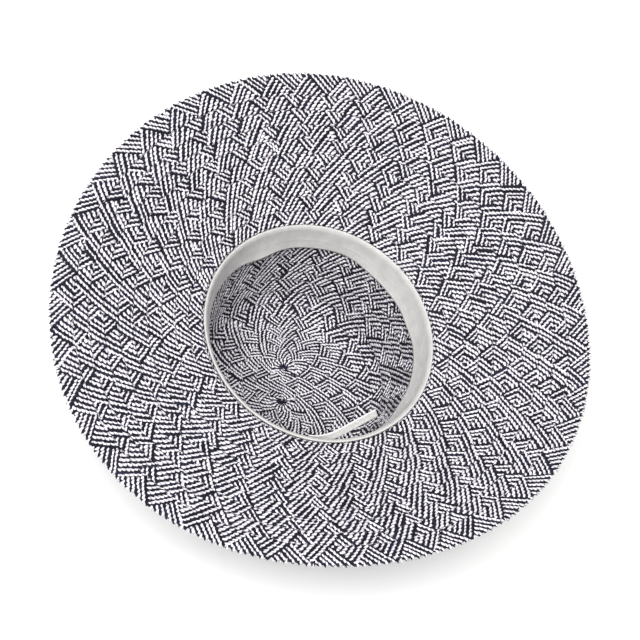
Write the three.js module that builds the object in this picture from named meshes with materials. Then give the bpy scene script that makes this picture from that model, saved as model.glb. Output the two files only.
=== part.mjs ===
// Wide-brim beach hat of sewn straw braid, lying on the tip of its crown with the head opening upwards.
// The origin is on the floor under the middle of the tip, +Z goes up out of the opening, and -Y is the
// back of the hat, where the sweatband is joined. Lengths are millimetres and angles are degrees.

import * as THREE from 'three';

// Head opening, over the top edge of the sweatband
const openingHalfWidth = 89.8;
const openingHalfLength = 91.7;

// Crown
const crownDepth = 106.5;
const wallTaper = 8.5;
const shoulderRadius = 20;

// Brim: its width from the bend to the edge, its mean rise, and how much the rise eases off towards the edge
const brimWidth = 118.8;
const brimRise = 26.6;
const brimEase = 6;
const bendRadius = 6;

// Slow waves of the brim: how many go round the hat, how much each adds to the rise at its peak,
// and the direction of a peak, counted from +X towards +Y
const brimWaves = [
  { round: 1, lift: 8.6, peak: 67.6 },
  { round: 2, lift: 6.4, peak: 112.3 },
  { round: 3, lift: 1.3, peak: 35.4 },
];

// Braid: the wall, about how much of each row shows, the width of the outermost row, which nothing covers,
// and the step where one row lies on the next
const strawThickness = 2;
const rowPitch = 11.8;
const edgeRowWidth = 17;
const rowStep = 0.9;

// Sweatband: its width, its wall, where its top edge ends on the bend, and how far its free edge stands in
const bandWidth = 25;
const bandThickness = 1;
const bandTopLean = 45;
const bandStandIn = 1.6;

// Puckers of the sweatband's free edge, as shares of how far it stands in
const bandPuckers = [
  { round: 2, share: 0.35, peak: 20 },
  { round: 5, share: 0.3, peak: 48 },
];

// Loose tape end at the back seam: where it leaves the seam, how far it reaches from there, the way it
// points, counted from +X towards +Y, how steeply it climbs and how far its face rolls up on the way
const tapeWidth = 10;
const tapeThickness = 1;
const tapeLead = 14;
const tapeReach = 43.3;
const tapeTurn = 32.7;
const tapeClimb = 21;
const tapeRoll = 20.6;
const tapeSeamOffset = 12;
const tapeHeight = 89.5;

// Gap between touching pieces, and the number of flat sides that stand for a round
const clearance = 0.3;
const sides = 48;

const radians = THREE.MathUtils.degToRad;
const wallLean = radians(90 - wallTaper);

// The hat's upright section is one line, the inside face of the straw: out is measured from the rim of the
// head opening, up from the floor, and lean is the line's angle to the level. An offset goes inwards.

const bandGap = rowStep / 2 + clearance;
const bandFaceRadius = bendRadius + bandGap + bandThickness;
const bendCentre = {
  out: bandFaceRadius * Math.sin(radians(bandTopLean)),
  up: crownDepth - bandFaceRadius * Math.cos(radians(bandTopLean)),
};

const wallTop = {
  out: bendCentre.out - bendRadius * Math.sin(wallLean),
  up: bendCentre.up + bendRadius * Math.cos(wallLean),
};
const wallHeight = wallTop.up - strawThickness - shoulderRadius * (1 - Math.cos(wallLean));
const wallLength = wallHeight / Math.sin(wallLean);
const shoulderCentre = {
  out: wallTop.out - wallLength * Math.cos(wallLean) - shoulderRadius * Math.sin(wallLean),
  up: strawThickness + shoulderRadius,
};
const shoulderLength = shoulderRadius * wallLean;

// Place in space of a point of the section, seen in one direction round the hat
function place(direction, { out, up, lean }, offset = 0) {
  const reach = out - offset * Math.sin(lean);
  return new THREE.Vector3(
    (openingHalfWidth + reach) * Math.cos(direction),
    (openingHalfLength + reach) * Math.sin(direction),
    up + offset * Math.cos(lean),
  );
}

// The crown's line: the round shoulder from the flat tip, then the leaning wall
function crownLine(distance) {
  if (distance < shoulderLength) {
    const lean = distance / shoulderRadius;
    return {
      out: shoulderCentre.out + shoulderRadius * Math.sin(lean),
      up: shoulderCentre.up - shoulderRadius * Math.cos(lean),
      lean,
    };
  }
  return wallLine(shoulderLength + wallLength - distance);
}

// The straight wall, counted down from its top
function wallLine(depth) {
  return {
    out: wallTop.out - depth * Math.cos(wallLean),
    up: wallTop.up - depth * Math.sin(wallLean),
    lean: wallLean,
  };
}

// A sum of cosine waves round the hat, each with its own count and peak
function wavesAt(table, direction, column) {
  return table.reduce(
    (sum, wave) => sum + wave[column] * Math.cos(wave.round * (direction - radians(wave.peak))),
    0,
  );
}

// The lean at which the bend runs into the brim
function brimStartLean(direction) {
  return radians(brimRise + brimEase / 2 + wavesAt(brimWaves, direction, 'lift'));
}

// The bend round its own centre, at a given lean
function bendLine(lean) {
  return {
    out: bendCentre.out - bendRadius * Math.sin(lean),
    up: bendCentre.up + bendRadius * Math.cos(lean),
    lean,
  };
}

// The brim is a very large arc that goes on from the bend and eases off towards the edge
function brimLine(direction, share) {
  const startLean = brimStartLean(direction);
  const start = bendLine(startLean);
  const lean = startLean - radians(brimEase) * share;
  const arcRadius = brimWidth / radians(brimEase);
  return {
    out: start.out + arcRadius * (Math.sin(startLean) - Math.sin(lean)),
    up: start.up + arcRadius * (Math.cos(lean) - Math.cos(startLean)),
    lean,
  };
}

const directions = Array.from({ length: sides }, (_, side) => (2 * Math.PI * side) / sides);

// A ring of points round the hat, from a function of the direction
const ringOf = (pointAt) => directions.map(pointAt);

// A closed skin over a stack of rings. The stack ends in two points, or without them joins up with itself.
function skin(rings, ends) {
  const count = rings[0].length;
  const points = rings.flat();
  const faces = [];
  const corner = (ring, side) => (ring % rings.length) * count + (side % count);
  const seams = ends ? rings.length - 1 : rings.length;
  for (let ring = 0; ring < seams; ring += 1) {
    for (let side = 0; side < count; side += 1) {
      const [a, b] = [corner(ring, side), corner(ring, side + 1)];
      const [c, d] = [corner(ring + 1, side + 1), corner(ring + 1, side)];
      faces.push(a, b, c, a, c, d);
    }
  }
  if (ends) {
    const first = points.push(ends[0]) - 1;
    const last = points.push(ends[1]) - 1;
    const lastRing = rings.length - 1;
    for (let side = 0; side < count; side += 1) {
      faces.push(first, corner(0, side + 1), corner(0, side));
      faces.push(last, corner(lastRing, side), corner(lastRing, side + 1));
    }
  }
  const geometry = new THREE.BufferGeometry().setFromPoints(points);
  geometry.setIndex(faces);
  geometry.computeVertexNormals();
  return geometry;
}

// Stations along overlapping rows: each row starts raised over the one before and ends under the next.
// Rows on a curved stretch get a station in their middle, and the last row may be wider than the rest.
function lappedRows(length, { curvedLength = 0, lastRowWidth = 0 }) {
  const covered = length - lastRowWidth;
  const rows = Math.max(1, Math.round(covered / rowPitch));
  const starts = Array.from({ length: rows + 1 }, (_, row) => (covered * row) / rows);
  if (lastRowWidth > 0) starts.push(length);
  return starts.slice(1).flatMap((end, row) => {
    const start = starts[row];
    const middle = start < curvedLength ? [{ distance: (start + end) / 2, step: 0 }] : [];
    return [{ distance: start, step: rowStep / 2 }, ...middle, { distance: end, step: -rowStep / 2 }];
  });
}

// Crown: a flat tip, a round shoulder and a wall of lapped rows, open where the head goes in
function crownGeometry() {
  const rows = lappedRows(shoulderLength + wallLength - clearance, { curvedLength: shoulderLength });
  const tipEdge = crownLine(0);
  const outside = rows.map(({ distance, step }) =>
    ringOf((direction) => place(direction, crownLine(distance), step - strawThickness)));
  const inside = rows.map(({ distance, step }) =>
    ringOf((direction) => place(direction, crownLine(distance), step)));
  const rings = [
    ringOf((direction) => place(direction, tipEdge, -strawThickness)),
    ...outside,
    ...inside.reverse(),
    ringOf((direction) => place(direction, tipEdge)),
  ];
  return skin(rings, [new THREE.Vector3(0, 0, 0), new THREE.Vector3(0, 0, strawThickness)]);
}

// Brim: the bend out of the crown, then lapped rows out to the edge row
function brimGeometry() {
  const bendShares = [0, 1 / 3, 2 / 3, 1];
  const rows = lappedRows(brimWidth, { lastRowWidth: edgeRowWidth });
  const face = (depth) => [
    ...bendShares.map((share) => ringOf((direction) => {
      const lean = wallLean + (brimStartLean(direction) - wallLean) * share;
      return place(direction, bendLine(lean), -depth);
    })),
    ...rows.map(({ distance, step }) => ringOf((direction) =>
      place(direction, brimLine(direction, distance / brimWidth), step - depth))),
  ];
  return skin([...face(strawThickness), ...face(0).reverse()]);
}

// Line of the sweatband's back: over the bend, then down the wall, standing in towards its free edge
function bandLine(direction, share) {
  const topLean = radians(bandTopLean);
  const overBend = (bendRadius + bandGap) * (wallLean - topLean);
  const distance = bandWidth * share;
  if (distance < overBend) return bendLine(topLean + (wallLean - topLean) * (distance / overBend));
  const depth = distance - overBend;
  const standIn = bandStandIn * (1 + wavesAt(bandPuckers, direction, 'share'));
  const point = wallLine(depth);
  return { ...point, out: point.out - standIn * (depth / (bandWidth - overBend)) ** 2 };
}

// Sweatband: a thin ribbon ring inside the opening, its top edge sewn over the bend
function sweatbandGeometry() {
  const shares = [0, 0.13, 0.27, 0.5, 0.75, 1];
  const face = (depth) => shares.map((share) =>
    ringOf((direction) => place(direction, bandLine(direction, share), bandGap + depth)));
  return skin([...face(0).reverse(), ...face(bandThickness)]);
}

// Loose tape end: it leaves the sweatband's seam at the back, bends away from it, climbs and ends straight
function tapeGeometry() {
  const bottom = tapeHeight - tapeWidth / 2;
  const depth = (wallTop.up - bottom) / Math.sin(wallLean);
  const share = Math.min(1, (depth + (bendRadius + bandGap) * (wallLean - radians(bandTopLean))) / bandWidth);
  const back = place(radians(-90), bandLine(radians(-90), share), bandGap + bandThickness);
  const backY = back.y + clearance + tapeThickness / 2;
  const bow = (tapeSeamOffset ** 2) / (2 * openingHalfLength);
  const along = new THREE.Vector3(
    Math.cos(radians(tapeTurn)),
    Math.sin(radians(tapeTurn)),
    Math.tan(radians(tapeClimb)),
  ).normalize();
  const corner = new THREE.Vector3(tapeSeamOffset, backY + bow, tapeHeight);
  const start = new THREE.Vector3(tapeSeamOffset - tapeLead, backY + bow, tapeHeight);
  const end = corner.clone().addScaledVector(along, tapeReach);
  const lead = new THREE.QuadraticBezierCurve3(start, corner, corner.clone().addScaledVector(along, tapeLead));
  const stations = [0, 0.2, 0.4, 0.6, 0.8, 1].map((at) => ({ at: lead.getPoint(at), way: lead.getTangent(at) }));
  for (const reach of [0.65, 1]) {
    stations.push({ at: corner.clone().addScaledVector(along, tapeReach * reach), way: along });
  }
  const sections = stations.map(({ at, way }) => {
    const roll = -radians(tapeRoll) * (at.distanceTo(start) / end.distanceTo(start));
    const side = new THREE.Vector3(way.y, -way.x, 0).normalize();
    const rise = side.clone().cross(way).applyAxisAngle(way, roll).multiplyScalar(tapeWidth / 2);
    const across = side.applyAxisAngle(way, roll).multiplyScalar(tapeThickness / 2);
    return [
      at.clone().sub(across).add(rise),
      at.clone().add(across).add(rise),
      at.clone().add(across).sub(rise),
      at.clone().sub(across).sub(rise),
    ];
  });
  return skin(sections, [stations[0].at, stations[stations.length - 1].at]);
}

const strawMaterial = () => new THREE.MeshStandardMaterial({ color: '#8d91a4', roughness: 0.85, metalness: 0 });
const ribbonMaterial = () => new THREE.MeshStandardMaterial({ color: '#c9c8c7', roughness: 0.75, metalness: 0 });
const tapeMaterial = () => new THREE.MeshStandardMaterial({ color: '#e2e1e0', roughness: 0.8, metalness: 0 });

function named(name, geometry, material) {
  const mesh = new THREE.Mesh(geometry, material);
  mesh.name = name;
  return mesh;
}

const hat = new THREE.Group();
hat.add(
  named('crown', crownGeometry(), strawMaterial()),
  named('brim', brimGeometry(), strawMaterial()),
  named('sweatband', sweatbandGeometry(), ribbonMaterial()),
  named('size_tape', tapeGeometry(), tapeMaterial()),
);

export default hat;
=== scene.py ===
# %% [markdown]
# # A wide-brim beach hat of sewn straw braid
# The real hat is one long plaited strip of paper straw. A machine sews it into a spiral, each turn lapped
# over the turn before, from a short seam in the tip of the crown out to the edge of the brim. A grey ribbon
# is sewn inside the opening and a loose end of white tape hangs at its join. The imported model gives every
# size and place. It could be dressed with a bump pattern alone, but the plait is coarse enough to see, so
# this script lays each cord of the strip as a small tube of its own.

from collections import namedtuple

import bpy
import numpy as np
from mathutils import Matrix, Vector


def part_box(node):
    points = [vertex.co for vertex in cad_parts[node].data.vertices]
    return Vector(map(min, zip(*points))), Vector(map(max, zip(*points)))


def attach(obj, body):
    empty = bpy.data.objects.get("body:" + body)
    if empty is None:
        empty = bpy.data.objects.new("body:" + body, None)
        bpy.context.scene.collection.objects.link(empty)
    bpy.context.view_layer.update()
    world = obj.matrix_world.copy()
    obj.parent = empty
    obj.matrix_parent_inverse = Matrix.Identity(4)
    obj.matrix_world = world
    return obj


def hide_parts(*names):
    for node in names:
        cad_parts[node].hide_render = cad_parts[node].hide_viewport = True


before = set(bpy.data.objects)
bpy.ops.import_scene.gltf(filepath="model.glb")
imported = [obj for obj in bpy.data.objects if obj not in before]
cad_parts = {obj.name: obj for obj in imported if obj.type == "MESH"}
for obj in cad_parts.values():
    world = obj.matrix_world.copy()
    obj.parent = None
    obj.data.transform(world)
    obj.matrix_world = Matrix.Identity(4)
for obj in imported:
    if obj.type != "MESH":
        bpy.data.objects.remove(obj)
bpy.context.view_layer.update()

# %% [markdown]
# ## The camera
# The photograph looks steeply down into the crown from the hat's back, and the picture is turned about its
# own centre. A camera can be placed by a target, a distance and three angles, which read more plainly than a
# matrix. The lens length follows from how much smaller the far side of the brim's pattern looks.

# %% Camera
MM = 0.001
LOOKED_AT_MM = (-2.4, 4.9, 110.0)
CAMERA_DISTANCE_MM = 989.1
CAMERA_AZIMUTH_DEG = -114.5
CAMERA_HEIGHT_DEG = 57.96
CAMERA_ROLL_DEG = 31.08
LENS_MM = 72.97


def turn(degrees, axis):
    """A turn about one axis, as a four by four matrix."""
    return Matrix.Rotation(np.radians(degrees), 4, axis)


def place_camera():
    """Turns the camera up to its height, round to its azimuth and about its own sight line."""
    camera = bpy.data.objects.new("camera", bpy.data.cameras.new("camera"))
    bpy.context.scene.collection.objects.link(camera)
    aim = turn(CAMERA_AZIMUTH_DEG + 90, "Z") @ turn(90 - CAMERA_HEIGHT_DEG, "X")
    back = aim @ Vector((0, 0, 1))
    spot = (Vector(LOOKED_AT_MM) + CAMERA_DISTANCE_MM * back) * MM
    camera.matrix_world = Matrix.Translation(spot) @ aim @ turn(CAMERA_ROLL_DEG, "Z")
    camera.data.lens = LENS_MM
    camera.data.clip_start = 0.05
    bpy.context.scene.camera = camera
    return camera


camera = place_camera()
print("camera at", [round(v, 3) for v in camera.location])

# %% [markdown]
# ## The section of the hat
# Cut through its middle, a hat is one line: a flat tip, a round shoulder, a leaning wall, a tight bend and a
# long easy arc for the brim. Along that line the lean only grows or falls at a steady rate, so each stretch
# is an arc or a straight and the place is a sum of sines and cosines. The line is carried round an oval.
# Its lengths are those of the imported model, and the line is the inside face of the straw.

# %% Sizes of the section, in millimetres and degrees
OPENING_HALF_WIDTH = 89.8
OPENING_HALF_LENGTH = 91.7
CROWN_DEPTH = 106.5
SHOULDER_RADIUS = 20.0
BEND_RADIUS = 6.0
BRIM_WIDTH = 118.8
STRAW_THICKNESS = 2.0
BAND_TOP_LEAN = np.radians(45)
BAND_GAP = 0.75
BAND_THICKNESS = 1.0
WALL_LEAN = np.radians(90 - 8.5)
BRIM_RISE = np.radians(26.6)
BRIM_EASE = np.radians(6)

Wave = namedtuple("Wave", "times size peak")
BRIM_WAVES = [
    Wave(times=1, size=np.radians(8.6), peak=np.radians(67.6)),
    Wave(times=2, size=np.radians(6.4), peak=np.radians(112.3)),
    Wave(times=3, size=np.radians(1.3), peak=np.radians(35.4)),
]

face_radius = BEND_RADIUS + BAND_GAP + BAND_THICKNESS
wall_top_out = face_radius * np.sin(BAND_TOP_LEAN) - BEND_RADIUS * np.sin(WALL_LEAN)
wall_top_up = CROWN_DEPTH - face_radius * np.cos(BAND_TOP_LEAN) + BEND_RADIUS * np.cos(WALL_LEAN)
wall_height = wall_top_up - STRAW_THICKNESS - SHOULDER_RADIUS * (1 - np.cos(WALL_LEAN))
SHOULDER_LENGTH = SHOULDER_RADIUS * WALL_LEAN
WALL_LENGTH = wall_height / np.sin(WALL_LEAN)
CROWN_LENGTH = SHOULDER_LENGTH + WALL_LENGTH
TIP_OUT = wall_top_out - WALL_LENGTH * np.cos(WALL_LEAN) - SHOULDER_RADIUS * np.sin(WALL_LEAN)
print("tip", round(OPENING_HALF_WIDTH + TIP_OUT, 1), "by", round(OPENING_HALF_LENGTH + TIP_OUT, 1),
      "crown line", round(CROWN_LENGTH, 1))

# %% [markdown]
# The braid starts as a short seam in the tip, folded back on itself, so the tip's rows are ovals round a
# line and not round a point. Each oval goes from that line to the rim of the tip by shares.

# %% The section line
TIP_SEAM_HALF = 14.8
TIP_SEAM_MIDDLE = np.array([-3.9, -1.1])
TIP_SEAM_SIDE = 1.7
TIP_WIDTH = OPENING_HALF_WIDTH + TIP_OUT


def waves(table, theta):
    """A sum of cosine waves round the hat, each with its own count, size and peak."""
    return sum(wave.size * np.cos(wave.times * (theta - wave.peak)) for wave in table)


def brim_start_lean(theta):
    """The lean where the bend runs into the brim: the mean rise and its waves."""
    return BRIM_RISE + BRIM_EASE / 2 + waves(BRIM_WAVES, theta)


def bend_length(theta):
    """Length of the bend: its radius times the angle between the wall and the start of the brim."""
    return BEND_RADIUS * (WALL_LEAN - brim_start_lean(theta))


def section(theta, along):
    """Half width, half length, height and lean at a length along the line, counted from the tip's rim.

    The angle turned on each arc is the length spent on it over its radius, and each arc adds its radius
    times the change of the sine outwards and of the cosine upwards.
    """
    start_lean = brim_start_lean(theta)
    shoulder = np.clip(along / SHOULDER_RADIUS, 0, WALL_LEAN)
    wall = np.clip(along - SHOULDER_LENGTH, 0, WALL_LENGTH)
    bend = np.clip((along - CROWN_LENGTH) / BEND_RADIUS, 0, WALL_LEAN - start_lean)
    brim_radius = BRIM_WIDTH / BRIM_EASE
    brim = np.maximum(along - CROWN_LENGTH - bend_length(theta), 0) / brim_radius
    lean = shoulder - bend - brim
    out = (TIP_OUT + SHOULDER_RADIUS * np.sin(shoulder) + wall * np.cos(WALL_LEAN)
           + BEND_RADIUS * (np.sin(WALL_LEAN) - np.sin(WALL_LEAN - bend))
           + brim_radius * (np.sin(start_lean) - np.sin(start_lean - brim)))
    up = (STRAW_THICKNESS + SHOULDER_RADIUS * (1 - np.cos(shoulder)) + wall * np.sin(WALL_LEAN)
          + BEND_RADIUS * (np.cos(WALL_LEAN - bend) - np.cos(WALL_LEAN))
          + brim_radius * (np.cos(start_lean - brim) - np.cos(start_lean)))
    return OPENING_HALF_WIDTH + out, OPENING_HALF_LENGTH + out, up, lean


def normal_at(theta, lean):
    """Unit vector off the inside face of the straw, inwards and upwards."""
    return np.stack([-np.sin(lean) * np.cos(theta), -np.sin(lean) * np.sin(theta), np.cos(lean)], axis=-1)


def seam_point(theta):
    """The point of the tip's seam that faces a direction: on its side in the middle, at its end beyond."""
    reach = TIP_SEAM_HALF * np.tanh(TIP_SEAM_SIDE * np.sin(theta)) / np.tanh(TIP_SEAM_SIDE)
    return np.stack([TIP_SEAM_MIDDLE[0] + 0 * reach, TIP_SEAM_MIDDLE[1] + reach], axis=-1)


def on_hat(theta, along, offset=0.0):
    """Points and normals of the hat: the section carried round its oval, then moved along the normal.

    Inside the tip's rim a point lies between the rim and the seam, by its share of the tip's width.
    """
    half_width, half_length, up, lean = section(theta, along)
    share = np.clip(1 + along / TIP_WIDTH, 0, 1)[..., None]
    oval = np.stack([half_width * np.cos(theta), half_length * np.sin(theta)], axis=-1)
    flat = share * oval + (1 - share) * seam_point(theta)
    line = np.concatenate([flat, up[..., None] + 0 * flat[..., :1]], axis=-1)
    normal = normal_at(theta, lean)
    return line + np.asarray(offset)[..., None] * normal, normal


around = np.linspace(0, 2 * np.pi, 361)
edge, _ = on_hat(around, CROWN_LENGTH + bend_length(around) + BRIM_WIDTH)
print("brim edge from", edge.min(0).round(1), "to", edge.max(0).round(1))

# %% [markdown]
# ## Rows of braid
# The strip is 17 mm wide and each turn covers a third of the turn before, seen from inside the hat. Closed
# rows stand for the spiral, so each row holds a whole number of the plait's repeats. The plait's repeat is
# about 28 mm long, and a chart gives how many repeats each row has and how far round the first one
# starts, because that is what makes the blocks of the pattern line up in slanting steps across the rows.
# The strip is pulled round more tightly towards the tip, which pushes its repeat together to about 18 mm.
# In the crown's wall the rows aren't evenly spaced, so the chart also says where each one starts.

# %% Row chart
STRIP_WIDTH = 17.0
REPEAT_LENGTH = 27.8
TIP_ROWS = 5
WALL_ROWS = 9

Row = namedtuple("Row", "repeats start inner", defaults=[None])
TIP_CHART = [Row(5, 0.10), Row(8, 0.60), Row(11, 0.20), Row(13, 0.70), Row(15, 0.30)]
WALL_CHART = [
    Row(16, 0.69, 4.9), Row(18, 0.90, 16.3), Row(18, 0.86, 29.5),
    Row(19, 0.52, 45.2), Row(19, 0.41, 56.9), Row(21, 0.06, 67.8),
    Row(21, 0.98, 78.8), Row(21, 0.90, 91.0), Row(22, 0.40, 104.3),
]
BRIM_CHART = [
    Row(24, 0.38), Row(25, 0.81), Row(27, 0.30), Row(29, 0.72), Row(31, 0.04),
    Row(34, 0.36), Row(36, 0.94), Row(38, 0.66), Row(40, 0.37), Row(43, 0.31),
]
BRIM_PITCH = (BRIM_WIDTH - STRIP_WIDTH) / (len(BRIM_CHART) - 1)
CHART = TIP_CHART + WALL_CHART + BRIM_CHART
CROWN_ROWS = range(TIP_ROWS + WALL_ROWS)
BRIM_ROWS = range(TIP_ROWS + WALL_ROWS, len(CHART))


def row_start(row, theta):
    """Where a row's inner edge lies along the section: even steps in tip and brim, the chart between."""
    if row < TIP_ROWS:
        return row / TIP_ROWS * (TIP_WIDTH + WALL_CHART[0].inner) - TIP_WIDTH + 0 * theta
    if row in CROWN_ROWS:
        return CHART[row].inner + 0 * theta
    return CROWN_LENGTH + bend_length(theta) + BRIM_PITCH * (row - BRIM_ROWS[0])


def direction_at(row, share):
    """Direction round the hat at a share of the row's length, measured along the middle of what shows."""
    theta = np.linspace(0, 2 * np.pi, 721)
    middle, _ = on_hat(theta, row_start(row, theta) + BRIM_PITCH / 2)
    steps = np.linalg.norm(np.diff(middle, axis=0), axis=1)
    shares = np.concatenate([[0], np.cumsum(steps)]) / steps.sum()
    turns = np.floor(share)
    return 2 * np.pi * turns + np.interp(share - turns, shares, theta)


print("rows", len(CHART), "repeats", sum(row.repeats for row in CHART))

# %% [markdown]
# A strip lies tilted, like a roof tile: its inner edge is raised inside the hat, over the row before, and
# its outer edge goes down behind the row after. The tilt over one row is about a cord's thickness.
# On the tip the whole layer is raised a little, so that its lowest edge stays above the floor. The last row
# is a little narrower, because its cords' own thickness stands out past the edge of the brim.

# %% A place on a strip
INNER_EDGE_OFFSET = -0.15
STRIP_TILT = 1.75
TIP_LIFT = 1.2
TIP_LIFT_END = 16.0
LAST_ROW_NARROWER = 1.5


def smooth(share):
    """A soft step from 0 to 1: three times the square less twice the cube."""
    share = np.clip(share, 0, 1)
    return share * share * (3 - 2 * share)


def on_strip(row, share, across, lift=0.0):
    """Points and normals on a row's strip, with across going from 0 at its inner edge to 1."""
    theta = direction_at(row, share)
    width = STRIP_WIDTH - LAST_ROW_NARROWER * (row == BRIM_ROWS[-1])
    along = row_start(row, theta) + across * width
    raised = TIP_LIFT * (1 - smooth(along / TIP_LIFT_END))
    return on_hat(theta, along, INNER_EDGE_OFFSET - STRIP_TILT * across + raised + lift)


quarter_round, _ = on_strip(BRIM_ROWS[0], np.array([0.25]), np.array([0.0]))
print("first row of the brim, a quarter round:", quarter_round[0].round(1))

# %% [markdown]
# ## The plait
# Each repeat of the strip shows 12 white and 12 navy lengths of cord. A zigzag line divides it into wedges.
# In a wedge with its base on the inner edge the cords run parallel to one side of the zigzag, and in a wedge
# with its base on the outer edge they run parallel to the other side. At its base a cord turns over the edge
# of the strip, and at its far end it dives under the first cord of the next wedge. So a cord of rank i
# starts at i twelfths of the base and is i twelfths shorter than the full width. The white cords are the
# fatter and lumpier ones, most of all where they are short.

# %% Wedges and cords
# Lengths are in millimetres, and the rest are shares of a strip, a repeat, a spacing or a cord's own size
RANKS = 12
ZIGZAG = 0.43
Wedge = namedtuple("Wedge", "base slope flipped")
WEDGES = [Wedge(base=0.0, slope=ZIGZAG, flipped=False), Wedge(base=ZIGZAG, slope=1 - ZIGZAG, flipped=True)]

Cord = namedtuple("Cord", "first half_share half_thickness step lump jitter brim_end")
WHITE = Cord(first=1, half_share=0.315, half_thickness=0.62, step=1.5, lump=0.36, jitter=0.2,
             brim_end=(0.0, 0.015))
NAVY = Cord(first=0, half_share=0.285, half_thickness=0.55, step=2.2, lump=0.28, jitter=0.15,
            brim_end=(0.01, 0.03))
OVERHANG = 0.02, 0.055
DIVE_UNDER = 0.015
TURN_LENGTH = 1.5
TURN_DEPTH = 0.5
DIVE_LENGTH = 1.1
DIVE_DEPTH = 0.75
NAVY_SINK = 0.05
HOOK = 0.7
HOOK_LENGTH = 3.0
WANDER = 0.34

Drift = namedtuple("Drift", "size by_repeat by_row by_wedge")
DRIFT = Drift(size=0.035, by_repeat=2.4, by_row=1.7, by_wedge=2.0)

FATNESS = 0.13
FIRST_CORD_THINNER = 0.1
LAST_ROW_THINNER = 0.08
SHORT_CORD_FATTER = 0.6
CROWDING_LIMITS = 0.2, 1.12
END_SHARE = 0.7
END_LENGTH = 1.2
TWIST_SLANT = 0.8
RING = np.array([[1, 0], [0, 1], [-1, 0], [0, -1]])
UV_COLUMNS = np.arange(len(RING) + 1) / len(RING)
LEAST_RINGS = 4
NEARBY = 1e-3

chance = np.random.default_rng(7)
longest = np.hypot(STRIP_WIDTH, np.array([wedge.slope for wedge in WEDGES]) * REPEAT_LENGTH)
print("longest cord of each wedge", longest.round(1))


def lump_swing(cord, copies, rings):
    """How much each ring of a cord is fatter or thinner: by turns more and less, from a random start."""
    return cord.lump * np.where((np.arange(rings) + chance.integers(0, 2, (copies, 1))) % 2, 1, -1)


def cord_uv(swing):
    """Places in a cord's UV map: lumps counted along it, and its four sides in five columns round it."""
    copies, rings = swing.shape
    lump_count = (np.arange(rings) + (swing > 0)[:, :1]) / 2
    columns = UV_COLUMNS + np.zeros((copies, rings, 1))
    return np.stack([lump_count[..., None] + 0 * columns, columns], axis=-1)


def lay_cords(row, wedge, rank, cord):
    """Tubes of one rank of cord in each repeat of a row.

    The path is straight in the strip, starts a little outside its edge, hooks sideways near its end and runs
    on a little under the next wedge. Its lift falls by a soft step over both end lengths, but not in the
    tip's first row, which lies against the seam. The half width swings up and down from ring to ring to
    make the lumps, and shrinks where the strip is gathered and its cords are crowded.
    """
    repeats, start, _ = CHART[row]
    reach = 1 - rank / RANKS
    length = (reach + DIVE_UNDER) * np.hypot(STRIP_WIDTH, wedge.slope * REPEAT_LENGTH)
    rings = max(LEAST_RINGS, round(length / cord.step) + 1)
    way = np.linspace(0, 1, rings)
    done, left = way * length, (1 - way) * length
    lift = -TURN_DEPTH * (1 - smooth(done / TURN_LENGTH)) - DIVE_DEPTH * (1 - smooth(left / DIVE_LENGTH))
    lift = lift * (row > 0) - NAVY_SINK * (cord is NAVY)
    hook = HOOK / REPEAT_LENGTH * (1 - smooth(left / HOOK_LENGTH)) ** 2

    copies = np.arange(repeats)[:, None]
    at_brim_edge = row == BRIM_ROWS[-1] and wedge.flipped
    overhang = chance.uniform(*(cord.brim_end if at_brim_edge else OVERHANG), (repeats, 1))
    run = (reach + DIVE_UNDER + overhang) * way - overhang
    across = 1 - run if wedge.flipped else run
    wander = chance.normal(0, WANDER, (repeats, 1)) + chance.normal(0, cord.jitter, (repeats, rings))
    drift_angle = DRIFT.by_repeat * copies + DRIFT.by_row * row + DRIFT.by_wedge * wedge.flipped
    drift = DRIFT.size * np.sin(drift_angle)
    place = wedge.base + rank / RANKS + wedge.slope * run + hook + drift + wander / REPEAT_LENGTH
    share = (copies + start - place) / repeats
    points, normals = on_strip(row, share, across, lift)

    beside, _ = on_strip(row, share + NEARBY, across, lift)
    repeat_here = np.linalg.norm(beside - points, axis=-1) / NEARBY / repeats
    crowding = np.clip(repeat_here / REPEAT_LENGTH, *CROWDING_LIMITS)
    spacing = REPEAT_LENGTH * 2 / RANKS * np.sin(np.arctan2(STRIP_WIDTH, wedge.slope * REPEAT_LENGTH))
    swing = lump_swing(cord, repeats, rings)
    ends = END_SHARE + (1 - END_SHARE) * smooth(np.minimum(done, left) / END_LENGTH)
    fat = chance.normal(1, FATNESS, (repeats, 1)) + SHORT_CORD_FATTER * (cord is WHITE) * (rank / RANKS) ** 3
    fat -= FIRST_CORD_THINNER * (rank == 0) + LAST_ROW_THINNER * (cord is WHITE) * (row == BRIM_ROWS[-1])
    size = (1 + swing + chance.normal(0, cord.jitter, (repeats, rings))) * ends * crowding * fat
    half_thickness = cord.half_thickness * (1 + swing / 2) * ends
    tubes = tube(points, normals, cord.half_share * spacing * size, half_thickness)
    tone = np.broadcast_to(chance.random((repeats, 1, 1)), tubes.shape[:3])
    return tubes, cord_uv(swing), tone


def tube(points, normals, half_width, half_thickness):
    """Rings of four corners round each path: to its two sides, towards the normal and away from it.

    One side's corner is pushed ahead along the path and the other's back, so that the lumps slant like the
    turns of a twisted cord.
    """
    ahead = np.gradient(points, axis=1)
    sideways = np.cross(ahead, normals)
    sideways /= np.linalg.norm(sideways, axis=-1, keepdims=True)
    outwards = np.cross(sideways, ahead)
    outwards /= np.linalg.norm(outwards, axis=-1, keepdims=True)
    ahead /= np.linalg.norm(ahead, axis=-1, keepdims=True)
    slanting = half_width[..., None, None] * (sideways + TWIST_SLANT * ahead)[:, :, None]
    to_side = RING[:, :1] * slanting
    to_face = RING[:, 1:] * (half_thickness[..., None, None] * outwards[:, :, None])
    return points[:, :, None] + to_side + to_face


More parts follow.
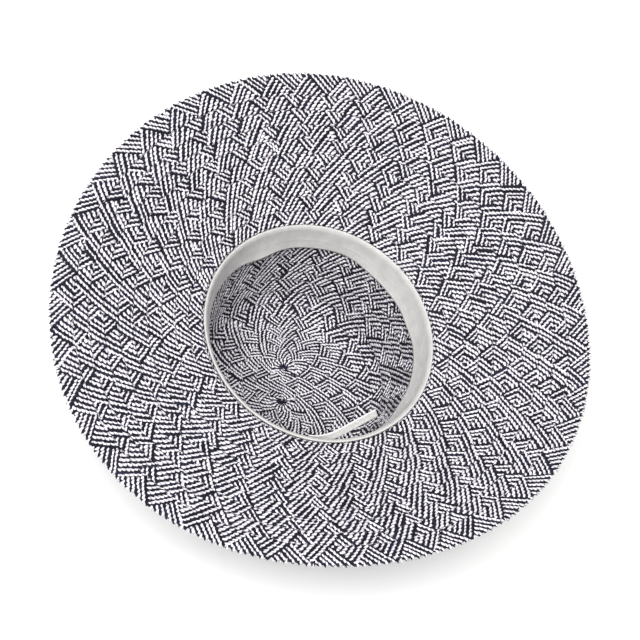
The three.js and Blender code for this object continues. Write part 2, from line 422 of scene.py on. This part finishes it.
# %% [markdown]
# At each end of the tip's seam the strip turns right round, so its inner edge is gathered to a point and its
# cords fan out from there. They are laid as straight spokes in polar form, narrow near the point. The white
# ones start a few millimetres out and rise from between the navy ones, which leaves a dark spot.

# %% Fans of the tip
FAN_CORDS = 20
FAN_SPREAD = np.radians(230)
FAN_START = {WHITE: 3.4, NAVY: 0.5}
FAN_REACH = 13.0
FAN_LIFT = 0.5
FAN_LEAST_HALF = {WHITE: 0.0, NAVY: 0.55}
FAN_WHITE_SINK = 0.7
FAN_RISE_LENGTH = 2.0
FAN_WIDENS_TO = 9.0
FAN_WIDER = 1.15
FAN_HALF_THICKNESS = 0.45


def lay_fan(end, cord):
    """Spokes round one end of the seam: the angle grows evenly from cord to cord and wanders a little."""
    rank = np.arange(cord.first, FAN_CORDS, 2)[:, None]
    rings = round((FAN_REACH - FAN_START[cord]) / cord.step) + 1
    radius = np.linspace(FAN_START[cord], FAN_REACH, rings)
    wander = chance.normal(0, WANDER, (len(rank), rings)) / FAN_REACH
    angle = end * np.pi / 2 + FAN_SPREAD * ((rank + 0.5) / FAN_CORDS - 0.5) + wander
    sink = FAN_WHITE_SINK * (cord is WHITE) * (1 - smooth((radius - FAN_START[WHITE]) / FAN_RISE_LENGTH))
    dive = DIVE_DEPTH * (1 - smooth((FAN_REACH - radius) / DIVE_LENGTH))
    height = STRAW_THICKNESS + INNER_EDGE_OFFSET + TIP_LIFT + FAN_LIFT - STRIP_TILT * radius / STRIP_WIDTH
    points = np.stack([TIP_SEAM_MIDDLE[0] + radius * np.cos(angle),
                       TIP_SEAM_MIDDLE[1] + end * TIP_SEAM_HALF + radius * np.sin(angle),
                       height - sink - dive + 0 * angle], axis=-1)
    normals = np.broadcast_to([0.0, 0.0, 1.0], points.shape)
    swing = lump_swing(cord, len(rank), rings)
    room = FAN_SPREAD / FAN_CORDS * 2 * np.minimum(radius, FAN_WIDENS_TO)
    half_width = np.maximum(cord.half_share * FAN_WIDER * room * (1 + swing), FAN_LEAST_HALF[cord])
    tubes = tube(points, normals, half_width, FAN_HALF_THICKNESS * (1 + swing / 2))
    return tubes, cord_uv(swing), np.broadcast_to(chance.random((len(rank), 1, 1)), tubes.shape[:3])


# %% [markdown]
# Many small tubes become one mesh. Every tube is a grid of rings, so its faces are worked out as whole
# arrays of indices: a quad between each two neighbours of two rings, and one quad to close each end.

# %% Meshes from arrays
def grid_faces(copies, rings, sides):
    """Corner indices of closed tubes: the walls between rings, then one end cap and the other."""
    corner = np.arange(copies * rings * sides).reshape(copies, rings, sides)
    after = np.roll(corner, -1, axis=2)
    walls = np.stack([corner[:, :-1], after[:, :-1], after[:, 1:], corner[:, 1:]], axis=-1)
    return walls.reshape(-1, 4), corner[:, 0, ::-1].reshape(-1, 4), corner[:, -1].reshape(-1, 4)


def tube_uv(uv):
    """The same faces' places in the UV map, which counts five columns for four sides."""
    walls = np.stack([uv[:, :-1, :-1], uv[:, :-1, 1:], uv[:, 1:, 1:], uv[:, 1:, :-1]], axis=3)
    return walls.reshape(-1, 4, 2), uv[:, 0, 3::-1].reshape(-1, 4, 2), uv[:, -1, :4].reshape(-1, 4, 2)


def mesh_piece(name, points, faces, uv, tone=None):
    """A piece from points in millimetres, quads of point indices, and the UV places of their corners."""
    mesh = bpy.data.meshes.new(name)
    mesh.vertices.add(len(points))
    mesh.vertices.foreach_set("co", (points * MM).astype(np.float32).ravel())
    mesh.loops.add(faces.size)
    mesh.loops.foreach_set("vertex_index", faces.astype(np.int32).ravel())
    mesh.polygons.add(len(faces))
    mesh.polygons.foreach_set("loop_start", np.arange(0, faces.size, 4, dtype=np.int32))
    mesh.update(calc_edges=True)
    mesh.uv_layers.new(name="UVMap").data.foreach_set("uv", uv.astype(np.float32).ravel())
    if tone is not None:
        tone_layer = mesh.attributes.new("tone", "FLOAT", "POINT")
        tone_layer.data.foreach_set("value", tone.astype(np.float32).ravel())
    mesh.polygons.foreach_set("use_smooth", np.ones(len(faces), bool))
    mesh.update()
    piece = bpy.data.objects.new(name, mesh)
    bpy.context.scene.collection.objects.link(piece)
    return piece


def plait_piece(name, rows, cord, fans=()):
    """All cords of one colour in some rows and fans, joined into one mesh."""
    laid = [lay_cords(row, wedge, rank, cord)
            for row in rows for wedge in WEDGES for rank in range(cord.first, RANKS, 2)]
    laid += [lay_fan(end, cord) for end in fans]
    points, faces, places, tones = [], [], [], []
    count = 0
    for tubes, uv, tone in laid:
        faces += [part + count for part in grid_faces(*tubes.shape[:3])]
        places += tube_uv(uv)
        points.append(tubes.reshape(-1, 3))
        tones.append(tone.ravel())
        count += len(points[-1])
    piece = mesh_piece(name, np.concatenate(points), np.concatenate(faces), np.concatenate(places),
                       np.concatenate(tones))
    print(name, "cords in", len(list(rows)), "rows,", 2 * len(piece.data.polygons), "triangles")
    return piece


SEAM_ENDS = 1, -1
LOWER_CROWN_ROWS, UPPER_CROWN_ROWS = CROWN_ROWS[:9], CROWN_ROWS[9:]
INNER_BRIM_ROWS, OUTER_BRIM_ROWS = BRIM_ROWS[:6], BRIM_ROWS[6:]

white_cords = {
    "crown": [plait_piece("tip_white_cords", LOWER_CROWN_ROWS, WHITE, fans=SEAM_ENDS),
              plait_piece("wall_white_cords", UPPER_CROWN_ROWS, WHITE)],
    "brim": [plait_piece("brim_white_cords", INNER_BRIM_ROWS, WHITE),
             plait_piece("edge_white_cords", OUTER_BRIM_ROWS, WHITE)],
}
navy_cords = {
    "crown": [plait_piece("crown_navy_cords", CROWN_ROWS, NAVY, fans=SEAM_ENDS)],
    "brim": [plait_piece("brim_navy_cords", INNER_BRIM_ROWS, NAVY),
             plait_piece("edge_navy_cords", OUTER_BRIM_ROWS, NAVY)],
}

# %% [markdown]
# Between the cords one sees other cords that pass below, in shade. A thin navy ground strip in the middle
# of each row stands for them, so that no light comes through the plait. It is a closed ring with a flat
# section, worked out on a grid of shares round the row and across it.

# %% Ground strips
GROUND_LIFT = -0.1
GROUND_HALF_THICKNESS = 0.12
GROUND_ACROSS = 5
GROUND_REACH = 0.02, 0.985
GROUND_STEPS = 3
GROUND_LEAST_STEPS = 12


def ground_rings(row):
    """Closed loops of points round one row: across the top of the strip, then back along its underside."""
    across = np.linspace(*GROUND_REACH, GROUND_ACROSS)
    section_across = np.concatenate([across, across[::-1]])
    section_lift = GROUND_LIFT + GROUND_HALF_THICKNESS * np.repeat([1, -1], GROUND_ACROSS)
    steps = GROUND_STEPS * CHART[row].repeats + GROUND_LEAST_STEPS
    share, section_across = np.meshgrid(np.arange(steps) / steps, section_across, indexing="ij")
    points, _ = on_strip(row, share, section_across, section_lift)
    return points


def ring_faces(rings, sides):
    """Quads of a closed ring of closed sections."""
    corner = np.arange(rings * sides).reshape(rings, sides)
    after = np.roll(corner, -1, axis=1)
    walls = np.stack([corner, np.roll(corner, -1, axis=0), np.roll(after, -1, axis=0), after], axis=-1)
    return walls.reshape(-1, 4)


def ground_piece(name, rows):
    """The ground strips of some rows, joined into one mesh."""
    points, faces = [], []
    count = 0
    for row in rows:
        loops = ground_rings(row)
        faces.append(ring_faces(*loops.shape[:2]) + count)
        points.append(loops.reshape(-1, 3))
        count += len(points[-1])
    faces = np.concatenate(faces)
    piece = mesh_piece(name, np.concatenate(points), faces, np.zeros((len(faces), 4, 2)))
    print(name, 2 * len(faces), "triangles")
    return piece


ground = {
    "crown": [ground_piece("crown_ground", CROWN_ROWS)],
    "brim": [ground_piece("brim_ground", BRIM_ROWS)],
}

# %% [markdown]
# ## The sweatband
# A grey ribbon 25 mm wide is sewn over the bend and hangs down inside the wall. Its free edge stands in a
# little and waves where the ribbon is longer than the wall. It is a closed thin ring, a profile carried
# round the opening, so that both faces and both woven edges are real.

# %% Sweatband
BAND_WIDTH = 25.0
BAND_STAND_IN = 1.6
BAND_PUCKERS = [
    Wave(times=2, size=0.35, peak=np.radians(20)),
    Wave(times=5, size=0.30, peak=np.radians(48)),
]
Sag = namedtuple("Sag", "middle_deg spread_deg size")
BAND_SAGS = [
    Sag(middle_deg=124, spread_deg=12, size=2.7),
    Sag(middle_deg=74, spread_deg=12, size=-1.8),
    Sag(middle_deg=20, spread_deg=8, size=0.9),
    Sag(middle_deg=-30, spread_deg=9, size=1.0),
]
NEAR_SIDE = np.radians(-105)
NEAR_REACH = np.radians(17)
BAND_RIDGE = 0.12
BAND_RIDGE_AT = 0.62
BAND_RIDGE_SPREAD = 0.05
BAND_SIDES = 288
BAND_ACROSS = 26
SELVEDGE = 0.25
SELVEDGE_SPREAD = 0.03
OPENING_ROUND = 570.0


def bell(theta, sag):
    """A bell curve round the hat: e to the minus square of the turn from its middle over its spread."""
    turned = np.angle(np.exp(1j * (theta - np.radians(sag.middle_deg))))
    return sag.size * np.exp(-(turned / np.radians(sag.spread_deg)) ** 2)


def band_surface(theta, across, offset):
    """Points of the ribbon: over the bend from its top edge, then down the wall, standing in by a square.

    The top edge reaches further over the bend on the near side, by the square of a raised cosine. Where the
    ribbon sags off the wall or lies tight, a bell curve of the direction changes how far it stands in and
    hangs down. A bell curve across it makes the low ridge of its stitching.
    """
    top_lean = BAND_TOP_LEAN - NEAR_REACH * ((1 + np.cos(theta - NEAR_SIDE)) / 2) ** 2
    over_bend = (BEND_RADIUS + BAND_GAP) * (WALL_LEAN - top_lean)
    sag = sum(bell(theta, place) for place in BAND_SAGS)
    down = across * (BAND_WIDTH + sag)
    on_bend = np.minimum(down / over_bend, 1)
    below = np.maximum(down - over_bend, 0)
    along = CROWN_LENGTH + BEND_RADIUS * (WALL_LEAN - top_lean) * (1 - on_bend) - below
    hang = below / (BAND_WIDTH - over_bend)
    stand_in = (BAND_STAND_IN * (1 + waves(BAND_PUCKERS, theta)) + sag / 2) * hang ** 2
    ridge = BAND_RIDGE * np.exp(-((across - BAND_RIDGE_AT) / BAND_RIDGE_SPREAD) ** 2)
    points, _ = on_hat(theta, along, BAND_GAP + stand_in + ridge + offset)
    return points


def ribbon_piece():
    """The ribbon as a closed thin ring, with its two edges thickened by a woven selvedge.

    Its UV map counts millimetres round the opening and across the ribbon.
    """
    across = np.linspace(0, 1, BAND_ACROSS)
    edge = 1 + SELVEDGE * np.exp(-((np.minimum(across, 1 - across) / SELVEDGE_SPREAD) ** 2))
    loop_across = np.concatenate([across, across[::-1]])
    offset = np.concatenate([BAND_THICKNESS / 2 * (1 + edge), BAND_THICKNESS / 2 * (1 - edge[::-1])])
    theta = np.arange(BAND_SIDES) / BAND_SIDES * 2 * np.pi
    theta, grid_across = np.meshgrid(theta, loop_across, indexing="ij")
    points = band_surface(theta, grid_across, offset)
    faces = ring_faces(BAND_SIDES, len(loop_across))
    columns = np.stack([np.arange(BAND_SIDES), np.arange(1, BAND_SIDES + 1)], axis=-1)
    columns = columns / BAND_SIDES * OPENING_ROUND
    rows = np.stack([loop_across, np.roll(loop_across, -1)], axis=-1) * BAND_WIDTH
    u = columns[:, None, [0, 1, 1, 0]] + 0 * rows[None, :, :1]
    v = rows[None, :, [0, 0, 1, 1]] + 0 * columns[:, None, :1]
    uv = np.stack([u, v], axis=-1).reshape(-1, 4, 2)
    return mesh_piece("sweatband_ribbon", points.reshape(-1, 3), faces, uv)


band = ribbon_piece()
print("sweatband_ribbon", 2 * len(band.data.polygons), "triangles")

# %% [markdown]
# ## The loose tape end
# A cotton tape is caught in the ribbon's seam and stands off it, climbing and rolling a little on its way.
# It could be draped by simulation, but a short stiff end is told well by a bend and a straight, with a
# section that turns as it goes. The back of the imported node's box says where the seam lies.

# %% Tape
TAPE_WIDTH = 10.0
TAPE_THICKNESS = 1.0
TAPE_LEAD = 14.0
TAPE_REACH = 43.3
TAPE_TURN = np.radians(32.7)
TAPE_CLIMB = np.radians(21)
TAPE_ROLL = np.radians(20.6)
TAPE_SEAM_OFFSET = 12.0
TAPE_HEIGHT = 89.5
TAPE_STEPS = 60
TAPE_ACROSS = 12
TAPE_CUP = 0.25
TAPE_CUP_MIDDLE = 0.4
TAPE_EDGE_THINNER = 0.7
TAPE_EDGE_SHARPNESS = 8
TAPE_ROLLED_BY = 0.5


def unit(vectors):
    """Vectors over their own lengths."""
    return vectors / np.linalg.norm(vectors, axis=-1, keepdims=True)


def tape_path():
    """Places and ways along the tape: a bend that leaves the seam level, then a straight climb.

    The bend is a curve of second order: each of its three points is weighed by products of the share gone
    and the share left.
    """
    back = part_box("size_tape")[0][1] / MM + TAPE_THICKNESS / 2
    along = unit(np.array([np.cos(TAPE_TURN), np.sin(TAPE_TURN), np.tan(TAPE_CLIMB)]))
    corner = np.array([TAPE_SEAM_OFFSET, back, TAPE_HEIGHT])
    seam = corner - [TAPE_LEAD, 0, 0]
    share = np.linspace(0, 1, TAPE_STEPS // 2)[:, None]
    bend_end = corner + TAPE_LEAD * along
    bend = (1 - share) ** 2 * seam + 2 * share * (1 - share) * corner + share ** 2 * bend_end
    straight = corner + along * (TAPE_LEAD + (TAPE_REACH - TAPE_LEAD) * share[1:])
    places = np.concatenate([bend, straight])
    return places, unit(np.gradient(places, axis=0))


def tape_piece():
    """The tape as a closed sheet: its section is a flat loop, slightly cupped, that rolls along the path."""
    places, ways = tape_path()
    steps = np.linalg.norm(np.diff(places, axis=0), axis=1)
    length = np.concatenate([[0], np.cumsum(steps)])
    reach = np.linalg.norm(places - places[0], axis=1) / np.linalg.norm(places[-1] - places[0])
    level = unit(np.stack([ways[:, 1], -ways[:, 0], 0 * reach], axis=-1))
    upright = np.cross(level, ways)
    roll = (TAPE_ROLL * smooth(reach / TAPE_ROLLED_BY))[:, None]
    face = level * np.cos(roll) + upright * np.sin(roll)
    rise = upright * np.cos(roll) - level * np.sin(roll)
    across = np.concatenate([np.linspace(-1, 1, TAPE_ACROSS), np.linspace(1, -1, TAPE_ACROSS)])
    thickness = TAPE_THICKNESS * (1 - TAPE_EDGE_THINNER * across ** TAPE_EDGE_SHARPNESS)
    depth = thickness / 2 * np.repeat([1, -1], TAPE_ACROSS)
    depth = depth + TAPE_CUP * reach[:, None] * (across ** 2 - TAPE_CUP_MIDDLE)
    height = TAPE_WIDTH / 2 * across
    points = places[:, None] + depth[..., None] * face[:, None] + height[:, None] * rise[:, None]
    sides = 2 * TAPE_ACROSS
    corner = np.arange(points.shape[0] * sides).reshape(-1, sides)
    after = np.roll(corner, -1, axis=1)
    walls = np.stack([corner[:-1], after[:-1], after[1:], corner[1:]], axis=-1).reshape(-1, 4)
    near, far = np.arange(TAPE_ACROSS - 1), np.arange(sides - 1, TAPE_ACROSS, -1)
    caps = [np.stack([ring[near], ring[far], ring[far - 1], ring[near + 1]], axis=-1)
            for ring in corner[[0, -1]]]
    faces = np.concatenate([walls, caps[0], caps[1][:, ::-1]])
    uv = np.stack([length[:, None] + 0 * across, height + 0 * length[:, None]], axis=-1)
    piece = mesh_piece("cotton_tape_end", points.reshape(-1, 3), faces, uv.reshape(-1, 2)[faces])
    print("tape", round(length[-1], 1), "mm long,", 2 * len(faces), "triangles")
    return piece, length[-1]


tape, tape_length = tape_piece()

# %% [markdown]
# ## Colours and nodes
# Colours are written as the hex values one reads off a screen. Shaders work in linear light, so one
# function turns them. Another adds a node with its settings and links, which keeps each material short.

# %% Helpers for materials
def linear(hex_colour):
    """Linear colour of an sRGB hex value: the standard curve, a power of 2.4 over a short straight."""
    parts = np.array([int(hex_colour[i:i + 2], 16) for i in (1, 3, 5)]) / 255
    curve = np.where(parts <= 0.04045, parts / 12.92, ((parts + 0.055) / 1.055) ** 2.4)
    return (*curve.tolist(), 1.0)


def add_node(material, kind, settings=None, links=None):
    """Adds a node. Settings name its properties or its sockets, and links feed its sockets."""
    tree = material.node_tree
    node = tree.nodes.new(kind)
    for key, value in (settings or {}).items():
        if isinstance(key, str) and hasattr(node, key):
            setattr(node, key, value)
        else:
            node.inputs[key].default_value = value
    for socket, source in (links or {}).items():
        tree.links.new(source, node.inputs[socket])
    return node


def new_material(name):
    """An empty node material with a Principled shader joined to its output."""
    material = bpy.data.materials.new(name)
    material.use_nodes = True
    material.node_tree.nodes.clear()
    shader = add_node(material, "ShaderNodeBsdfPrincipled")
    add_node(material, "ShaderNodeOutputMaterial", links={"Surface": shader.outputs["BSDF"]})
    return material, shader


def colour_ramp(material, source, stops):
    """A colour ramp through stops of place and hex colour."""
    ramp = add_node(material, "ShaderNodeValToRGB", links={"Fac": source})
    elements = ramp.color_ramp.elements
    while len(elements) < len(stops):
        elements.new(0.5)
    for element, (spot, hex_colour) in zip(elements, stops):
        element.position = spot
        element.color = linear(hex_colour)
    return ramp.outputs["Color"]


# %% [markdown]
# ## Paper straw
# The cords are toyo, strips of paper twisted to a cord, with fine fibres and a crease between each two
# turns of the twist. The shade that falls into each crease is painted into the colour as a darker line. An
# image of such a cord could be wrapped on, but a few lines of maths in the cord's own UV map follow every
# lump. Each cord has its own tone, held in the tone attribute, since no two lengths of dyed paper are alike.

# %% Twisted paper cord
CREASE_SHARE = 0.2
TONE_SHIFT = 90.0
# Places of a mix node's two colour sockets, of which several bear the same name
FIRST_COLOUR, SECOND_COLOUR = 6, 7


def paper_cord(name, crease_shade_colour, stops, roughness, bump):
    """Twisted paper: the cord's own UV counts its lumps along and its turns around, and a slanting line of
    painted shade lies wherever two lumps meet, where the surface also dips. The tone attribute and a fine
    noise choose the colour in between."""
    material, shader = new_material(name)
    uv = add_node(material, "ShaderNodeUVMap", {"uv_map": "UVMap"})
    tone = add_node(material, "ShaderNodeAttribute", {"attribute_name": "tone"})
    split = add_node(material, "ShaderNodeSeparateXYZ", links={0: uv.outputs["UV"]})
    far = add_node(material, "ShaderNodeMath", {"operation": "MULTIPLY", 1: TONE_SHIFT},
                   {0: tone.outputs["Fac"]})
    place = add_node(material, "ShaderNodeCombineXYZ", links={
        "X": split.outputs["X"], "Y": split.outputs["Y"], "Z": far.outputs[0]})
    fibres = add_node(material, "ShaderNodeTexNoise", {"Scale": 3.5, "Detail": 3.0},
                      {"Vector": place.outputs[0]})
    shade = add_node(material, "ShaderNodeMath", {"operation": "MULTIPLY_ADD", 1: 0.5},
                     {0: tone.outputs["Fac"], 2: fibres.outputs["Fac"]})
    paper = colour_ramp(material, shade.outputs[0], stops)

    wobble = add_node(material, "ShaderNodeMath", {"operation": "MULTIPLY_ADD", 1: 0.25},
                      {0: fibres.outputs["Fac"], 2: split.outputs["X"]})
    meeting = add_node(material, "ShaderNodeMath", {"operation": "PINGPONG", 1: 0.5}, {0: wobble.outputs[0]})
    crease_shade_and_dip = add_node(material, "ShaderNodeMapRange", {"From Min": 0.02, "From Max": CREASE_SHARE},
                      {"Value": meeting.outputs[0]})
    # Painted shade: where two lumps meet, the paper colour is mixed towards a dark crease colour
    colour = add_node(material, "ShaderNodeMix", {"data_type": "RGBA"},
                      {0: crease_shade_and_dip.outputs[0], SECOND_COLOUR: paper})
    colour.inputs[FIRST_COLOUR].default_value = linear(crease_shade_colour)
    height = add_node(material, "ShaderNodeMath", {"operation": "MULTIPLY_ADD", 1: 0.4},
                      {0: fibres.outputs["Fac"], 2: crease_shade_and_dip.outputs[0]})
    relief = add_node(material, "ShaderNodeBump", {"Strength": bump, "Distance": 0.0003},
                      {"Height": height.outputs[0]})
    material.node_tree.links.new(colour.outputs[2], shader.inputs["Base Color"])
    material.node_tree.links.new(relief.outputs["Normal"], shader.inputs["Normal"])
    shader.inputs["Roughness"].default_value = roughness
    shader.inputs["Specular IOR Level"].default_value = 0.2
    return material


# Bleached paper straw gives the eye a soft white; the lilac grey in its creases is painted shade
white_paper = paper_cord(
    "bleached_toyo_paper_cord", crease_shade_colour="#8d8596",
    stops=[(0.3, "#cdc7cf"), (0.6, "#e9e5e9"), (1.0, "#f2eff3")], roughness=0.62, bump=0.5)

# Dyed paper straw gives an inky blue, with paler lengths where it is worn; the near-black in its creases is
# painted shade
navy_paper = paper_cord(
    "dyed_navy_toyo_paper_cord", crease_shade_colour="#06060d",
    stops=[(0.3, "#0b0b18"), (0.7, "#151527"), (1.0, "#25263c")], roughness=0.75, bump=0.6)


def ground_material():
    """The same dyed paper seen deep between the cords: darker, with a coarse noise for uneven shade."""
    material, shader = new_material("dyed_navy_toyo_paper_in_shade")
    place = add_node(material, "ShaderNodeTexCoord")
    noise = add_node(material, "ShaderNodeTexNoise", {"Scale": 700.0}, {"Vector": place.outputs["Object"]})
    colour = colour_ramp(material, noise.outputs["Fac"], [(0.3, "#05060c"), (0.7, "#0d0e18")])
    material.node_tree.links.new(colour, shader.inputs["Base Color"])
    shader.inputs["Roughness"].default_value = 0.8
    return material


# Cords that pass below give only an uneven darkness
shade_paper = ground_material()
print("paper", [material.name for material in (white_paper, navy_paper, shade_paper)])

# %% [markdown]
# ## Ribbon
# The sweatband is grosgrain, a plain woven ribbon with fine ribs across it. The ribs are about 0.7 mm
# apart, just too fine for the picture, and show as a soft grain. Fingers and sewing leave faint marks.

# %% Woven ribbon
THREAD_MM = 0.35


def woven_ribbon(name, stops, rib_mm, roughness):
    """Ribs across the ribbon as a sine along its length, crossed by threads, with slow stains on top."""
    material, shader = new_material(name)
    uv = add_node(material, "ShaderNodeUVMap", {"uv_map": "UVMap"})
    split = add_node(material, "ShaderNodeSeparateXYZ", links={0: uv.outputs["UV"]})
    ribs = add_node(material, "ShaderNodeMath", {"operation": "MULTIPLY", 1: 2 * np.pi / rib_mm},
                    {0: split.outputs["X"]})
    rib = add_node(material, "ShaderNodeMath", {"operation": "SINE"}, {0: ribs.outputs[0]})
    threads = add_node(material, "ShaderNodeMath", {"operation": "MULTIPLY", 1: 2 * np.pi / THREAD_MM},
                       {0: split.outputs["Y"]})
    thread = add_node(material, "ShaderNodeMath", {"operation": "SINE"}, {0: threads.outputs[0]})
    cloth = add_node(material, "ShaderNodeMath", {"operation": "MULTIPLY_ADD", 1: 0.4},
                     {0: thread.outputs[0], 2: rib.outputs[0]})
    stains = add_node(material, "ShaderNodeTexNoise", {"Scale": 0.09, "Detail": 3.0},
                      {"Vector": uv.outputs["UV"]})
    shade = add_node(material, "ShaderNodeMath", {"operation": "MULTIPLY_ADD", 1: 0.06},
                     {0: cloth.outputs[0], 2: stains.outputs["Fac"]})
    colour = colour_ramp(material, shade.outputs[0], stops)
    relief = add_node(material, "ShaderNodeBump", {"Strength": 0.35, "Distance": 0.0002},
                      {"Height": cloth.outputs[0]})
    material.node_tree.links.new(colour, shader.inputs["Base Color"])
    material.node_tree.links.new(relief.outputs["Normal"], shader.inputs["Normal"])
    shader.inputs["Roughness"].default_value = roughness
    shader.inputs["Sheen Weight"].default_value = 0.15
    return material


# Grosgrain gives a pale, slightly warm grey with a dull silky sheen
ribbon_material = woven_ribbon(
    "woven_polyester_grosgrain", [(0.3, "#c4c2c0"), (0.7, "#d6d4d1")], rib_mm=0.7, roughness=0.75)

# Cotton gives a whiter, quite matt strip beside it
tape_material = woven_ribbon(
    "woven_cotton_tape", [(0.3, "#e4e3e1"), (0.7, "#f4f3f1")], rib_mm=0.6, roughness=0.85)
print("cloth", [material.name for material in (ribbon_material, tape_material)])

# %% [markdown]
# ## Putting the pieces on the imported model
# Every piece gets its material, rides on the imported body and takes the place of the imported node that it
# shows in full. The ribbon and the tape are real cloth.

# %% Dressing the pieces
for layer, material in ((white_cords, white_paper), (navy_cords, navy_paper), (ground, shade_paper)):
    for node, pieces in layer.items():
        for piece in pieces:
            piece.data.materials.append(material)
            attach(piece, "root")
            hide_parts(node)
    print(material.name, "on", [piece.name for pieces in layer.values() for piece in pieces])

band.data.materials.append(ribbon_material)
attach(band, "root")
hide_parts("sweatband")

tape.data.materials.append(tape_material)
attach(tape, "root")
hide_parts("size_tape")

# %% [markdown]
# ## Floor and light
# The hat lies on a plain pale floor. A wide soft lamp stands high beside the camera, and a wider one almost
# overhead reaches down into the crown. An even pale sky fills the shade.

# %% Stage
FLOOR_SIZE = 8.0


def floor():
    """A large flat square just under the hat."""
    half = FLOOR_SIZE / 2
    corners = [(-half, -half, 0), (half, -half, 0), (half, half, 0), (-half, half, 0)]
    mesh = bpy.data.meshes.new("floor")
    mesh.from_pydata(corners, [], [(0, 1, 2, 3)])
    piece = bpy.data.objects.new("floor", mesh)
    bpy.context.scene.collection.objects.link(piece)
    material, shader = new_material("pale_matt_paint")
    shader.inputs["Base Color"].default_value = linear("#fbfbfa")
    shader.inputs["Roughness"].default_value = 0.9
    mesh.materials.append(material)


def lamp(name, azimuth, height, distance, size, power):
    """A square soft lamp that faces the middle of the hat from a direction and a distance."""
    light = bpy.data.lights.new(name, "AREA")
    light.size = size
    light.energy = power
    piece = bpy.data.objects.new(name, light)
    bpy.context.scene.collection.objects.link(piece)
    aim = turn(azimuth + 90, "Z") @ turn(90 - height, "X")
    piece.matrix_world = Matrix.Translation(aim @ Vector((0, 0, distance))) @ aim


floor()
lamp("key_lamp", azimuth=-136, height=62, distance=2.2, size=1.2, power=52)
lamp("fill_lamp", azimuth=-80, height=84, distance=2.4, size=1.6, power=24)
world = bpy.data.worlds.new("sky")
world.use_nodes = True
world.node_tree.nodes["Background"].inputs["Color"].default_value = linear("#ffffff")
world.node_tree.nodes["Background"].inputs["Strength"].default_value = 0.28
bpy.context.scene.world = world
bpy.context.scene.view_settings.view_transform = "Standard"
print("lamps", {light.name: light.energy for light in bpy.data.lights})
